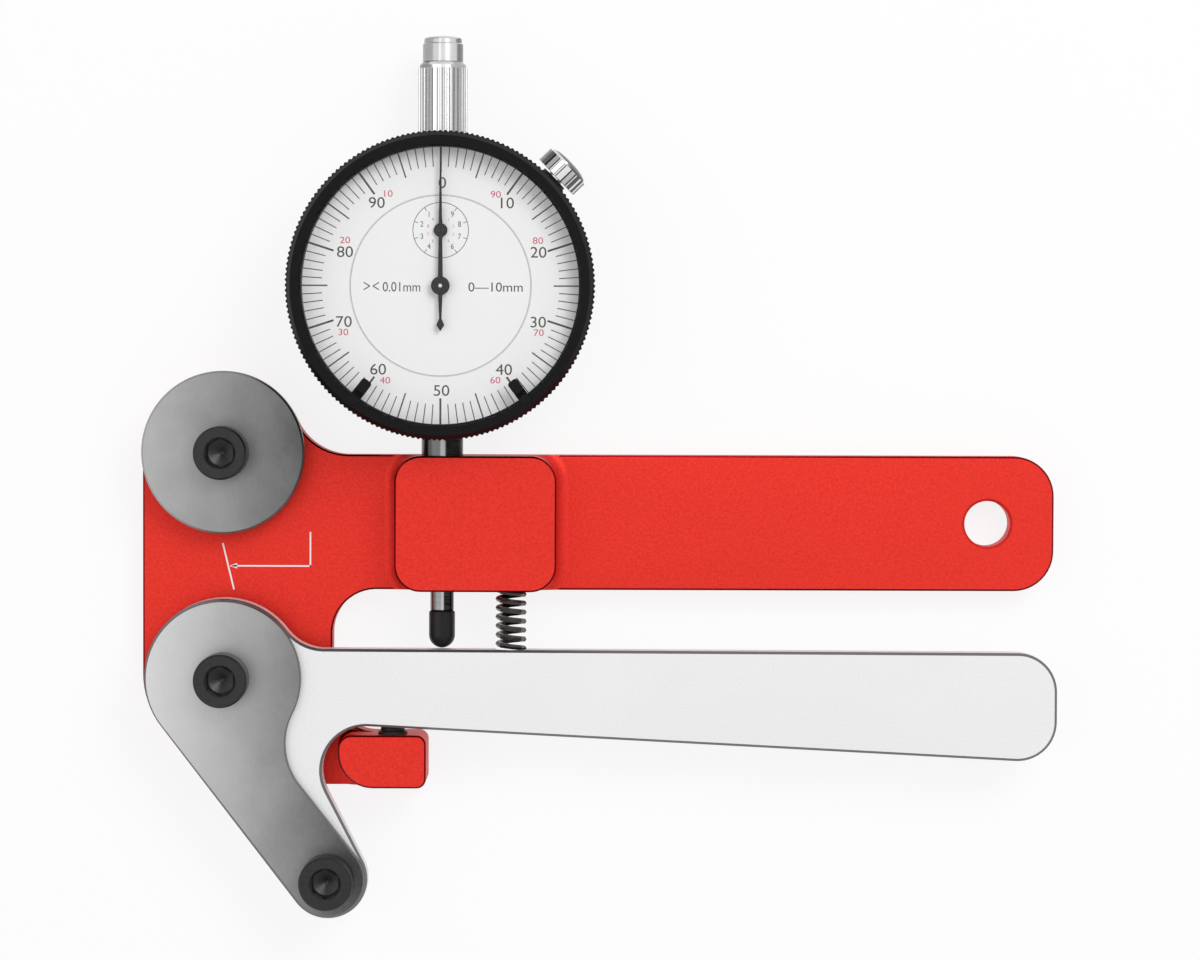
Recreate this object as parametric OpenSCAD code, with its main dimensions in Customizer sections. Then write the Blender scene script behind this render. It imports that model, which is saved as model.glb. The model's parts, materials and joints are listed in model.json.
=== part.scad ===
// Spoke tension meter: a hand-held gauge that bends a spoke between its pins
// and reads the deflection on a dial.
// Millimetres. It lies on its back: Z is up out of the dial, X runs along the
// handles and Y points up the gauge. The origin is the lever's pivot axis, on
// the rear face of the frame.

/* [Frame] */
// Thickness of the frame plate
frame_t = 6; // [5:0.5:8]
// Radius of the frame's boss round the pivot
boss_r = 15.9; // [15:0.1:18]
// Radius of the frame's head round the upper pin
crown_r = 15.5; // [14.5:0.1:16]
// Sideways offset of the head's centre line from the pivot
head_x = -0.4; // [-1:0.1:0.5]
// Distance from the pivot up to the upper pin
pin_y = 43.1; // [42:0.1:44.5]
// Height of the fixed handle
handle_h = 26; // [24:0.2:27]
// Height of the handle's lower edge above the pivot
handle_y = 16.6; // [16:0.2:18]
// Length of both handles from the pivot
handle_len = 159.5; // [130:0.5:190]
// Corner radius at the handle's end
handle_r = 7.7; // [4:0.1:10]
// Fillet from the head to the handle's top edge
head_fillet_r = 11.2; // [6:0.1:13]
// Distance from the pivot to the neck's right edge
neck_x = 20.3; // [18.5:0.1:22]
// Fillets of the neck and of the lever's leg
neck_r = 8.5; // [5:0.5:9.5]
// Radius of the hanging hole
hang_r = 4.4; // [3:0.1:6]
// Distance from the handle's end to the hanging hole
hang_inset = 12.8; // [11:0.1:18]
// Chamfer of the hanging hole
hang_chamfer = 0.5; // [0.2:0.1:0.8]
// Thickness of the frame left behind the blind bolt holes
bolt_floor = 1; // [0.6:0.1:1.3]

/* [Gauge block] */
// Height of the raised block over the frame plate
block_rise = 8.2; // [7.8:0.1:10]
// Length of the block along the handle
block_len = 31; // [28:0.5:36]
// Distance from the block's left face to the stem's axis
block_before_stem = 9; // [6:0.1:10]
// Corner radius of the block
block_r = 5; // [2:0.5:6]
// Radius of the coves at the block's feet
cove_r = 2.6; // [1:0.1:4]

/* [Stop arm] */
// Height of the raised stop tab over the frame plate
tab_rise = 7.2; // [6:0.1:9]
// Distance from the pivot down to the arm's top edge
arm_top = 11; // [10.6:0.1:12]
// Distance from the pivot down to the arm's bottom edge
arm_bottom = 21.2; // [19:0.1:24]
// Distance from the pivot to the arm's end
arm_end = 38.7; // [37:0.1:42]
// Distance from the pivot to the tab's left side
tab_x = 21.8; // [21:0.1:24]
// Lower left corner radius of the tab
tab_low_r = 6.7; // [4:0.1:7]
// Upper left corner radius of the tab
tab_top_r = 2.6; // [1:0.1:3]
// Small corner radius of the tab
tab_small_r = 1.8; // [1:0.1:3]
// Distance from the pivot to the stop screw's axis
stop_x = 32.2; // [30:0.1:34]
// Radius of the stop screw's thread
stop_r = 2; // [1.5:0.1:2.2]
// Radius of the stop screw's collar
stop_collar_r = 2.8; // [2.4:0.1:3]
// Radius of the stop screw's bumper
stop_tip_r = 2.3; // [1.8:0.1:2.4]

/* [Spoke gap and pins] */
// Width of the slot that takes the spoke
spoke_gap = 3; // [2.4:0.1:4]
// Radius of the upper pin's disc
disc_r = 15.6; // [14:0.1:15.8]
// Thickness of the upper pin's disc
disc_t = 2.5; // [2:0.1:4]
// Radius of the upper and lower pins where the spoke bears
pin_r = 4; // [3.6:0.1:5]
// Radius of the pivot sleeve where the spoke bears
sleeve_collar_r = 5; // [4.6:0.1:5.5]
// Radius of the pivot sleeve inside the lever
sleeve_r = 4; // [3.8:0.1:4.2]
// Radius of the lower pin's rear flange
flange_r = 6.2; // [5:0.1:6.8]
// Thickness of the lower pin's rear flange
flange_t = 2; // [1.5:0.1:2.5]
// Chamfer of the turned pieces
turned_chamfer = 0.35; // [0.1:0.05:0.6]

/* [Bolts] */
// Radius of the bolts' thread
bolt_r = 3; // [2.5:0.1:3.4]
// Radius of the bolt heads
bolt_head_r = 5.1; // [4.8:0.1:5.5]
// Height of the bolt heads
bolt_head_h = 6; // [4:0.5:7]
// Width across flats of the hexagon socket
socket_af = 5; // [4:0.5:5.5]
// Depth of the hexagon socket
socket_depth = 3; // [2:0.1:4]

/* [Lever] */
// Thickness of the lever
lever_t = 5; // [4:0.5:5.5]
// Radius of the lever's pivot boss
lever_boss_r = 15.2; // [14:0.1:16]
// Height of the lever's top edge over the pivot
lever_top = 5.7; // [5.4:0.1:7]
// Drop of the lever's top edge over its length
lever_top_drop = 0.5; // [0:0.1:1]
// Depth of the lever's bottom edge at its root
lever_root_drop = 7.8; // [7.4:0.1:8]
// Slope of the lever's bottom edge, in degrees
lever_slope = 2.9; // [2:0.1:3.5]
// Fillet from the boss to the lever's top edge
lever_fillet_r = 9; // [6:0.5:12]
// Corner radius of the lever's end
lever_end_r = 7.5; // [5:0.1:9]
// Distance from the pivot to the lower pin
leg_len = 43.4; // [41:0.1:46]
// Angle of the leg from straight down
leg_angle = 27.4; // [25:0.1:30]
// Radius of the leg's end
leg_end_r = 7.6; // [7:0.1:8.5]
// Radial wall of the lever's bush
bush_wall = 1.4; // [1:0.1:2]

/* [Leg plate] */
// Thickness of the steel plate on the leg
plate_t = 1.6; // [1.2:0.1:2.4]
// Radius of the plate's large end
plate_big_r = 14.9; // [13.8:0.1:15]
// Radius of the plate's small end
plate_small_r = 7.1; // [6.6:0.1:7.4]
// Angle of the plate's straight right edge from straight down
plate_edge_angle = 38.2; // [36:0.2:40]
// Radius of the plate's hollow right side
plate_neck_r = 12.7; // [10:0.1:14]

/* [Return spring] */
// Distance from the pivot to the spring's axis
spring_x = 54.9; // [53:0.1:57]
// Outer radius of the spring
spring_r = 3; // [2.7:0.05:3.1]
// Diameter of the spring's wire
wire_d = 1.1; // [0.7:0.05:1.1]
// Number of curls of the spring
curls = 8; // [7:1:9]
// Depth of the spring's pocket in the block
spring_pocket = 4; // [3:0.5:6]
// Depth of the spring's seat in the lever
spring_seat = 1; // [0.8:0.1:2]

/* [Dial gauge] */
// Distance from the pivot to the stem's axis
stem_x = 41.6; // [40.6:0.1:42]
// Distance from the pivot up to the dial's axis
dial_y = 75; // [74:0.1:80]
// Radius of the stem
stem_r = 4; // [3.8:0.1:4.2]
// Height of the stem's axis over the frame plate
stem_rise = 3.2; // [2.8:0.1:3.4]
// Radius of the spindle
spindle_r = 2.25; // [2:0.05:2.5]
// Radius of the plunger's tip
tip_r = 2.5; // [2.4:0.05:3]
// Length of the plunger's tip
tip_len = 7.2; // [6:0.1:7.6]
// Radius of the knurled upper sleeve
upper_sleeve_r = 4.7; // [4.2:0.1:5]
// Length of the upper sleeve that stands out of the case
upper_sleeve_len = 15.8; // [12:0.1:20]
// Number of flutes on the upper sleeve
sleeve_flutes = 30; // [20:2:40]
// Radius of the lifting cap
cap_r = 4.05; // [3.6:0.05:4.4]
// Height of the lifting cap
cap_h = 5.4; // [4:0.1:8]

/* [Dial case] */
// Radius of the dial case
case_r = 27; // [26.6:0.1:27.4]
// Wall of the dial case
case_wall = 1.8; // [1.4:0.1:2]
// Height of the case's rear face over the frame's rear face
case_back = 1.4; // [0.6:0.1:1.8]
// Height of the case's front rim over the frame's rear face
case_front = 18.2; // [18:0.1:18.4]
// Thickness of the rear cover
cover_t = 1.4; // [1:0.1:1.8]
// Number of screws in the rear cover
cover_screws = 4; // [3:1:6]
// Radius of the screws in the rear cover
cover_screw_r = 0.8; // [0.5:0.1:1]

/* [Bezel] */
// Thickness of the bezel's wall round the case, over the knurl
bezel_wall = 2.3; // [1.9:0.1:3.5]
// Height of the bezel's front over the frame's rear face
bezel_front = 23.6; // [23.4:0.1:24.4]
// Height of the bezel's rear edge over the frame's rear face
bezel_back = 16.6; // [16.3:0.1:17]
// How far the bezel's lip reaches in over the case
lip_cover = 0.8; // [0.7:0.1:1.2]
// Number of knurls round the bezel
bezel_knurls = 180; // [90:10:200]
// Depth of the bezel's knurl
knurl_depth = 0.35; // [0.2:0.05:0.5]
// Thickness of the crystal
crystal_t = 1.2; // [0.8:0.1:1.5]
// Thickness of the dial face
face_t = 0.5; // [0.4:0.05:0.6]
// Radius of the dial face's fixed centre, inside the ring that turns
face_centre_r = 17.2; // [16.8:0.1:18]

/* [Hands and markers] */
// Distance from the dial's axis up to the small counter
counter_y = 10.5; // [10:0.1:11]
// Length of the main hand from its axis to its tip
hand_len = 25.5; // [22:0.1:25.9]
// Length of the main hand's tail
tail_len = 8.6; // [6:0.1:10]
// Length of the small hand
small_hand_len = 4.2; // [3:0.1:4.6]
// Thickness of the hands
hand_t = 0.3; // [0.2:0.05:0.4]
// Width of a tolerance marker
marker_w = 2.1; // [1.4:0.1:2.6]
// Length of a tolerance marker over the face
marker_len = 3.6; // [2.5:0.1:4.5]
// Angle of the markers either side of straight down
marker_angle = 37; // [20:1:60]

/* [Lock screw] */
// Angle of the lock screw round the case
lock_angle = 43.8; // [35:0.2:55]
// Radius of the lock screw's knob
knob_r = 4.7; // [4:0.1:5]
// Thickness of the lock screw's knob
knob_t = 3; // [2:0.1:4]
// Number of notches round the knob
knob_notches = 20; // [12:2:28]
// Radius of the lock screw's shank
lock_r = 1.5; // [1:0.1:2]

/* [Movement] */
// Pitch of the rack's teeth
rack_pitch = 1; // [0.95:0.05:1]
// Teeth of the rack pinion
pinion_teeth = 10; // [10:1:11]
// Teeth of the two large wheels
wheel_teeth = 80; // [70:2:80]
// Teeth of the centre pinion
centre_teeth = 8; // [8:1:9]
// Thickness of the wheels
wheel_t = 0.6; // [0.5:0.1:0.8]
// Radius of the arbors
arbor_r = 0.6; // [0.5:0.05:0.65]

/* [Hidden] */
$fn = 96;

// Clearances
fit = 0.05;          // radial running clearance of shafts and threads
slip = 0.05;         // gap between faces that slide on each other
nip = 0.01;          // overlap that joins two shapes of one solid
through = 1;         // how far a cutter runs past a face
blend = 0.005;       // how far a tangent edge or fillet runs into its neighbour

// Sizes that several pieces share
fine_chamfer = 0.3;
clear_gap = 0.5;      // clear height under a bolt and beside a wheel
spring_cover = 0.8;  // metal of the block in front of the spring's pocket
crystal_sink = 1.2;  // depth of the crystal under the bezel's front
key_r = 1.15;        // corner radius of the small hexagon sockets
grub_r = 2;          // radius of the grub screw behind the stem
tip_stud_r = 1.2;    // radius of the plunger tip's stud
tip_stud_h = 3.5;    // length of the plunger tip's stud
cap_roof = 1.6;      // thickness of the lifting cap over the plunger
pivot_r = 0.35;      // radius of the main hand's pivot
inside_case = 1;     // length of the stem and the sleeve inside the case
cover_screw_len = 2.5;
cover_seat_r = case_r - case_wall / 2;
sleeve_neck_r = upper_sleeve_r - 1.2;

// Levels above the frame's rear face
gap_z = frame_t + spoke_gap;
lever_top_z = gap_z + lever_t;
plate_z = lever_top_z + plate_t;
block_z = frame_t + block_rise;
tab_z = frame_t + tab_rise;
stem_z = frame_t + stem_rise;
stop_z = gap_z + stop_collar_r / 4;
spring_z = block_z - spring_r - spring_cover;

// Places
handle_top = handle_y + handle_h;
leg_x = leg_len * sin(leg_angle);
leg_y = -leg_len * cos(leg_angle);
block_x = stem_x - block_before_stem;
block_end = block_x + block_len;
hang_x = handle_len - hang_inset;
hang_y = handle_y + handle_h / 2;

// Lever edges: height of the top and bottom edges at a place along the lever
lever_taper = lever_top_drop / handle_len;
function top_edge(x) = lever_top - lever_taper * x;
function bottom_edge(x) = -lever_root_drop - tan(lever_slope) * x;

// Spring
spring_top = handle_y + spring_pocket;
spring_foot = top_edge(spring_x) - spring_seat;
coil_r = spring_r - wire_d / 2;
pocket_r = spring_r + 4 * fit;

// Dial case and movement
case_inner_r = case_r - case_wall;
bezel_r = case_r + bezel_wall;
bezel_lip_r = case_r - lip_cover;
face_z = case_front + fine_chamfer;
crystal_z = bezel_front - crystal_sink - crystal_t;
bezel_bore_r = case_r + fit;
face_r = bezel_bore_r - 5 * fit;
crystal_r = bezel_lip_r + 8 * fit;
spindle_top = stem_z + spindle_r;
bridge_z = spindle_top + clear_gap / 2;
bridge_t = 0.8;
wheel_z = bridge_z + bridge_t + clear_gap;
plate_thick = 1.2;
plate_low_z = wheel_z + wheel_t + plate_thick;
pinion_pitch_r = pinion_teeth * rack_pitch / (2 * PI);
rack_top = 0.28;
rack_root = 0.35;
rack_line = spindle_r - rack_root;
wheel_module = 2 * counter_y / (wheel_teeth + centre_teeth);
wheel_r = wheel_module * wheel_teeth / 2;
wheel_top = 0.75 * wheel_module;
wheel_root = 0.95 * wheel_module;
train_x = -rack_line - pinion_pitch_r;
train_y = -sqrt(pow(counter_y, 2) - pow(train_x, 2));
pillars = [[13, 1], [-13.4, 1.6], [10, -14]];
pillar_r = 1.2;
hub_z = crystal_z - slip * 8;
hand_z = hub_z - hand_t - clear_gap;
small_hand_z = face_z + face_t + fine_chamfer;
cap_y = dial_y + case_r + upper_sleeve_len;
tip_y = top_edge(stem_x) + slip;

// ---------------------------------------------------------------- helpers

// Points where a straight line touches two circles on its left-hand side,
// going from the first circle to the second
function touch_points(a, ra, b, rb) =
    let (d = norm(b - a),
         heading = atan2(b[1] - a[1], b[0] - a[0]),
         normal = heading + acos((ra - rb) / d))
    [a + ra * [cos(normal), sin(normal)], b + rb * [cos(normal), sin(normal)]];

// Half a band between two circles, up to the line that touches both on the
// left-hand side going from the first to the second
module tangent_side(a, ra, b, rb) {
    touch = touch_points(a, ra - blend, b, rb - blend);
    polygon([a, b, touch[1], touch[0]]);
}

// A whole band between two circles, tangent to both
module tangent_link(a, ra, b, rb) {
    tangent_side(a, ra, b, rb);
    tangent_side(b, rb, a, ra);
}

// A rectangle with one radius per corner: bottom left, bottom right,
// top right, top left; a radius of 0 leaves the corner square
module rounded_box(low, high, radii) {
    corners = [low, [high[0], low[1]], high, [low[0], high[1]]];
    inward = [[1, 1], [-1, 1], [-1, -1], [1, -1]];
    polygon([for (i = [0:3], part = [0:1])
        if (part == 0 || radii[i] > 0)
            corners[i] + radii[i] * ((i + part) % 2 == 0
                ? [0, inward[i][1]] : [inward[i][0], 0])]);
    for (i = [0:3])
        if (radii[i] > 0)
            translate(corners[i] + radii[i] * inward[i])
                intersection() {
                    circle(radii[i]);
                    translate(-radii[i] * (inward[i] + [1, 1]) / 2)
                        square(radii[i]);
                }
}

// A round bar with chamfered ends, along Z
module turned(r, h, low = turned_chamfer, high = turned_chamfer) {
    rotate_extrude()
        polygon([[0, 0], [r - low, 0], [r, low], [r, h - high],
                 [r - high, h], [0, h]]);
}

// Turns a shape that stands along Z so that it lies along Y
module along_y(x, y, z) {
    translate([x, y, z])
        rotate([-90, 0, 0])
            children();
}

// Places a shape on the dial's axis
module at_dial(z = 0) {
    translate([stem_x, dial_y, z])
        children();
}

// A hexagon socket with a countersunk mouth, open at the top
module socket(across_flats, depth, z) {
    corner_r = across_flats / sqrt(3);
    drill_r = 0.98 * across_flats / 2;
    drill_tip = 0.4 * drill_r;
    mouth = 0.6;
    translate([0, 0, z - mouth])
        cylinder(r1 = drill_r, r2 = drill_r + mouth + nip, h = mouth + nip);
    translate([0, 0, z - depth])
        cylinder(r = corner_r, h = depth + through, $fn = 6);
    translate([0, 0, z - depth - drill_tip])
        cylinder(r1 = 0, r2 = drill_r, h = drill_tip + nip);
}

// A socket head bolt whose head rests on a face at z = 0
module socket_bolt(length) {
    difference() {
        union() {
            turned(bolt_head_r, bolt_head_h, fine_chamfer / 3, turned_chamfer);
            translate([0, 0, -length])
                turned(bolt_r, length + nip, fine_chamfer, 0);
        }
        rotate([0, 0, 30])
            socket(socket_af, socket_depth, bolt_head_h);
    }
}

// Outline of a fluted disc
function fluted(r, depth, count, flat = 0.45) =
    [for (i = [0:count - 1], part = [0:3])
        let (step = 360 / count,
             turn = step * (i + [0, flat, 0.5 + flat / 4, 1 - flat / 4][part]),
             radius = part < 2 ? r : r - depth)
        radius * [cos(turn), sin(turn)]];

// Outline of a gear: narrow teeth with straight flanks
function gear_outline(teeth, mod, top, root, phase = 0) =
    let (pitch_r = teeth * mod / 2,
         step = 360 / teeth,
         half_tip = 0.08 * step,
         half_foot = 0.2 * step)
    [for (i = [0:teeth - 1], part = [0:3])
        let (middle = step * i + phase,
             turn = middle + [-half_foot, -half_tip, half_tip, half_foot][part],
             radius = (part == 0 || part == 3) ? pitch_r - root : pitch_r + top)
        radius * [cos(turn), sin(turn)]];

// ------------------------------------------------------------- frame plate

// Centre of the head's round end, whose left side is flush with the boss
crown = [head_x - boss_r + crown_r, pin_y + crown_r - boss_r];

// Fillet between the head and the handle's top edge
module head_fillet() {
    rise = head_fillet_r - (crown[1] - handle_top);
    centre = [crown[0] + sqrt(pow(crown_r + head_fillet_r, 2) - pow(rise, 2)),
              handle_top + head_fillet_r];
    difference() {
        polygon([crown, centre, [centre[0], handle_top - through],
                 [crown[0], handle_top - through]]);
        translate(centre)
            circle(head_fillet_r + blend);
    }
}

// Inner fillet in the corner between a vertical edge at x and a horizontal
// edge at y; side is 1 above the corner and -1 below it
module inner_fillet(x, y, r, side) {
    difference() {
        polygon([[x - through, y - side * through], [x + r, y - side * through],
                 [x + r, y + side * r], [x - through, y + side * r]]);
        translate([x + r, y + side * r])
            circle(r + blend);
    }
}

module frame_outline() {
    low = [head_x, 0];
    toe_r = 8;
    toe = [5, toe_r - arm_bottom];
    translate(crown)
        circle(crown_r);
    translate(low)
        circle(boss_r);
    tangent_link(low, boss_r, crown, crown_r);
    polygon([[head_x, handle_y], [neck_x, handle_y + through], [neck_x, -arm_top],
             [head_x, -arm_top]]);
    head_fillet();
    rounded_box([head_x, handle_y], [handle_len, handle_top],
                [0, handle_r, handle_r, 0]);
    inner_fillet(neck_x, handle_y, neck_r, -1);
    translate(toe)
        circle(toe_r);
    tangent_link(low, boss_r, toe, toe_r);
    rounded_box([toe[0], -arm_bottom], [arm_end, -arm_top],
                [0, tab_small_r, tab_small_r, 0]);
    inner_fillet(neck_x, -arm_top, neck_r, 1);
}

// Cove between a wall at x = 0 and a floor at y = 0
module cove_profile() {
    difference() {
        polygon([[-through, -through], [cove_r, -through], [cove_r, cove_r],
                 [-through, cove_r]]);
        translate([cove_r, cove_r])
            circle(cove_r + blend);
    }
}

// The raised block that holds the gauge, with coves at its feet that follow
// its corners to the handle's edges
module gauge_block() {
    half_run = handle_h / 2 - block_r;
    right = block_end - block_r;
    left = block_x + block_r;
    corners = [[right, hang_y + half_run], [left, hang_y + half_run],
               [left, hang_y - half_run], [right, hang_y - half_run]];
    linear_extrude(height = block_z)
        rounded_box([block_x, handle_y], [block_end, handle_top],
                    [block_r, block_r, block_r, block_r]);
    intersection() {
        union() {
            for (side = [[block_end, 0], [block_x, 180]])
                translate([side[0], hang_y, frame_t])
                    rotate(side[1])
                        translate([0, half_run, 0])
                            rotate([90, 0, 0])
                                linear_extrude(height = 2 * half_run)
                                    cove_profile();
            for (i = [0:3])
                translate([corners[i][0], corners[i][1], frame_t])
                    rotate(90 * i)
                        rotate_extrude(angle = 90)
                            translate([block_r, 0])
                                cove_profile();
        }
        translate([0, handle_y, 0])
            cube([handle_len, handle_h, block_z]);
    }
}

module frame() {
    color([0.86, 0.2, 0.17])
        difference() {
            union() {
                linear_extrude(height = frame_t)
                    frame_outline();
                gauge_block();
                linear_extrude(height = tab_z)
                    rounded_box([tab_x, -arm_bottom], [arm_end, -arm_top],
                                [tab_low_r, tab_small_r, tab_small_r, tab_top_r]);
            }
            // blind holes for the two bolts
            for (place = [[head_x, pin_y], [0, 0]])
                translate([place[0], place[1], bolt_floor])
                    cylinder(r = bolt_r + fit, h = frame_t - bolt_floor + through);
            translate([hang_x, hang_y, -through])
                cylinder(r = hang_r, h = frame_t + 2 * through);
            translate([hang_x, hang_y, frame_t - hang_chamfer])
                cylinder(r1 = hang_r, r2 = hang_r + hang_chamfer + nip,
                         h = hang_chamfer + nip);
            along_y(stem_x, handle_y - through, stem_z)
                cylinder(r = stem_r + fit, h = handle_h + 2 * through);
            along_y(spring_x, handle_y - through, spring_z)
                cylinder(r = pocket_r, h = spring_pocket + through);
            along_y(stop_x, -arm_bottom - through, stop_z)
                cylinder(r = stop_r + fit, h = arm_bottom - arm_top + 2 * through);
            translate([stem_x, hang_y, -through])
                cylinder(r = grub_r + fit, h = stem_z + through);
        }
}

// ------------------------------------------------------ pins and fasteners

// Upper pin: the spoke bears on its core, under the wide disc
module upper_disc() {
    color([0.72, 0.72, 0.72])
        translate([head_x, pin_y, 0])
            difference() {
                union() {
                    translate([0, 0, frame_t])
                        cylinder(r = pin_r, h = spoke_gap + nip);
                    translate([0, 0, gap_z])
                        turned(disc_r, disc_t, 0.15, turned_chamfer);
                }
                translate([0, 0, frame_t - through])
                    cylinder(r = bolt_r + fit, h = spoke_gap + disc_t + 2 * through);
            }
}

module upper_bolt() {
    color([0.2, 0.2, 0.21])
        translate([head_x, pin_y, gap_z + disc_t])
            socket_bolt(gap_z + disc_t - bolt_floor - clear_gap);
}

// Sleeve that the lever turns on: its collar is the middle pin
module pivot_sleeve() {
    color([0.75, 0.75, 0.76])
        difference() {
            union() {
                translate([0, 0, frame_t])
                    cylinder(r = sleeve_collar_r, h = spoke_gap - slip);
                translate([0, 0, frame_t])
                    cylinder(r = sleeve_r, h = plate_z - frame_t + slip);
            }
            translate([0, 0, frame_t - through])
                cylinder(r = bolt_r + fit, h = plate_z + 2 * through);
        }
}

module pivot_bolt() {
    color([0.2, 0.2, 0.21])
        translate([0, 0, plate_z + slip])
            socket_bolt(plate_z - bolt_floor - clear_gap);
}

module lower_bolt() {
    color([0.2, 0.2, 0.21])
        translate([leg_x, leg_y, plate_z])
            socket_bolt(plate_z - gap_z + spoke_gap + flange_t);
}

// Lower pin on the back of the leg, with a flange behind the spoke
module lower_pin() {
    pin_back = frame_t - 0.5;
    color([0.72, 0.72, 0.72])
        translate([leg_x, leg_y, 0])
            difference() {
                union() {
                    translate([0, 0, pin_back])
                        cylinder(r = pin_r, h = gap_z - pin_back);
                    translate([0, 0, pin_back - flange_t])
                        turned(flange_r, flange_t + nip, turned_chamfer, 0.1);
                }
                translate([0, 0, -through])
                    cylinder(r = bolt_r + fit, h = gap_z + 2 * through);
            }
}

// Screw with a black bumper that the lever rests on
module stop_screw() {
    sunk = 0.5;
    socket_h = 2;
    rise = bottom_edge(stop_x + stop_tip_r) - slip + arm_top;
    shank = arm_bottom - arm_top - sunk;
    // radii of the bumper, at shares of its rise
    profile = [[0, 0], [stop_collar_r, 0], [stop_collar_r, 0.35], [stop_tip_r, 0.55],
               [stop_tip_r, 0.9], [0.94 * stop_tip_r, 1], [0, 1]];
    color([0.08, 0.08, 0.08])
        along_y(stop_x, -arm_bottom + sunk, stop_z)
            difference() {
                union() {
                    cylinder(r = stop_r, h = shank + nip);
                    translate([0, 0, shank])
                        rotate_extrude()
                            polygon([for (p = profile) [p[0], p[1] * rise]]);
                }
                translate([0, 0, -through])
                    cylinder(r = key_r, h = socket_h + through, $fn = 6);
            }
}

// Grub screw in the frame's back that holds the stem
module stem_set_screw() {
    sunk = 0.6;
    socket_h = 1.8;
    color([0.15, 0.15, 0.16])
        translate([stem_x, hang_y, sunk])
            difference() {
                turned(grub_r, stem_z - stem_r - sunk, fine_chamfer, fine_chamfer);
                translate([0, 0, -through])
                    cylinder(r = key_r, h = socket_h + through, $fn = 6);
            }
}

// ------------------------------------------------------------------- lever

// Directions of the lever's edges and of its leg
top_tilt = atan(lever_taper);
top_out = [sin(top_tilt), cos(top_tilt)];
bottom_out = [-sin(lever_slope), -cos(lever_slope)];
leg_out = [cos(leg_angle), sin(leg_angle)];
foot = [leg_x, leg_y];

// Place at given distances out of two edges, each given by its outward normal
function meet(n1, d1, n2, d2) =
    let (det = n1[0] * n2[1] - n1[1] * n2[0])
    [d1 * n2[1] - n1[1] * d2, n1[0] * d2 - n2[0] * d1] / det;

top_off = lever_top * cos(top_tilt);
bottom_off = lever_root_drop * cos(lever_slope);

// Boss, arm and leg without their fillets
module lever_outline() {
    root = -lever_boss_r / 2;
    side_off = leg_end_r - blend;
    end_top = meet([1, 0], handle_len - lever_end_r, top_out, top_off - lever_end_r);
    end_low = meet([1, 0], handle_len - lever_end_r,
                   bottom_out, bottom_off - lever_end_r);
    circle(lever_boss_r);
    translate(foot)
        circle(leg_end_r);
    tangent_side(foot, leg_end_r, [0, 0], lever_boss_r);
    // straight right side of the leg
    polygon([[0, 0], foot, foot + side_off * leg_out, side_off * leg_out]);
    // the arm with its rounded end
    polygon([[root, top_edge(root)], [root, bottom_edge(root)],
             end_low + lever_end_r * bottom_out, end_low + [lever_end_r, 0],
             end_top + [lever_end_r, 0], end_top + lever_end_r * top_out]);
    for (centre = [end_top, end_low])
        translate(centre)
            circle(lever_end_r + blend);
}

// Fillet from the boss to the arm's top edge
module lever_top_web() {
    reach = top_off + lever_fillet_r;
    centre = reach * top_out
        + sqrt(pow(lever_boss_r + lever_fillet_r, 2) - pow(reach, 2))
        * [top_out[1], -top_out[0]];
    difference() {
        polygon([[0, 0], centre, centre - reach * top_out]);
        translate(centre)
            circle(lever_fillet_r + blend);
    }
}

// Fillet in the corner between the arm and the leg
module lever_under_web() {
    centre = meet(bottom_out, bottom_off + neck_r, leg_out, leg_end_r + neck_r);
    difference() {
        polygon([[0, 0], centre - (neck_r + leg_end_r) * leg_out, centre,
                 centre - (neck_r + bottom_off) * bottom_out]);
        translate(centre)
            circle(neck_r + blend);
    }
}

module lever() {
    color([0.88, 0.88, 0.89])
        difference() {
            translate([0, 0, gap_z]) {
                linear_extrude(height = lever_t)
                    lever_outline();
                linear_extrude(height = lever_t)
                    lever_top_web();
                linear_extrude(height = lever_t)
                    lever_under_web();
            }
            translate([0, 0, gap_z - through])
                cylinder(r = sleeve_r + fit + bush_wall, h = lever_t + 2 * through);
            translate([leg_x, leg_y, gap_z - through])
                cylinder(r = bolt_r + fit, h = lever_t + 2 * through);
            along_y(spring_x, spring_foot, spring_z)
                cylinder(r = pocket_r, h = spring_seat + through);
        }
}

// Steel plate that covers the lever's boss and leg
module leg_plate() {
    edge_out = [cos(plate_edge_angle), sin(plate_edge_angle)];
    edge_off = foot * edge_out + plate_small_r;
    neck_reach = plate_big_r + plate_neck_r;
    neck_off = edge_off + plate_neck_r;
    neck = neck_off * edge_out
        + sqrt(pow(neck_reach, 2) - pow(neck_off, 2)) * [edge_out[1], -edge_out[0]];
    color([0.7, 0.7, 0.7])
        translate([0, 0, lever_top_z])
            difference() {
                linear_extrude(height = plate_t) {
                    circle(plate_big_r);
                    translate(foot)
                        circle(plate_small_r);
                    tangent_side(foot, plate_small_r, [0, 0], plate_big_r);
                    difference() {
                        polygon([[0, 0], foot, foot + plate_small_r * edge_out,
                                 neck - plate_neck_r * edge_out, neck]);
                        translate(neck)
                            circle(plate_neck_r + blend);
                    }
                }
                translate([0, 0, -through])
                    cylinder(r = sleeve_r + fit, h = plate_t + 2 * through);
                translate([leg_x, leg_y, -through])
                    cylinder(r = bolt_r + fit, h = plate_t + 2 * through);
            }
}

module lever_bush() {
    color([0.72, 0.6, 0.36])
        translate([0, 0, gap_z])
            difference() {
                cylinder(r = sleeve_r + fit + bush_wall, h = lever_t);
                translate([0, 0, -through])
                    cylinder(r = sleeve_r + fit, h = lever_t + 2 * through);
            }
}

// ----------------------------------------------------------- return spring

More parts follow.
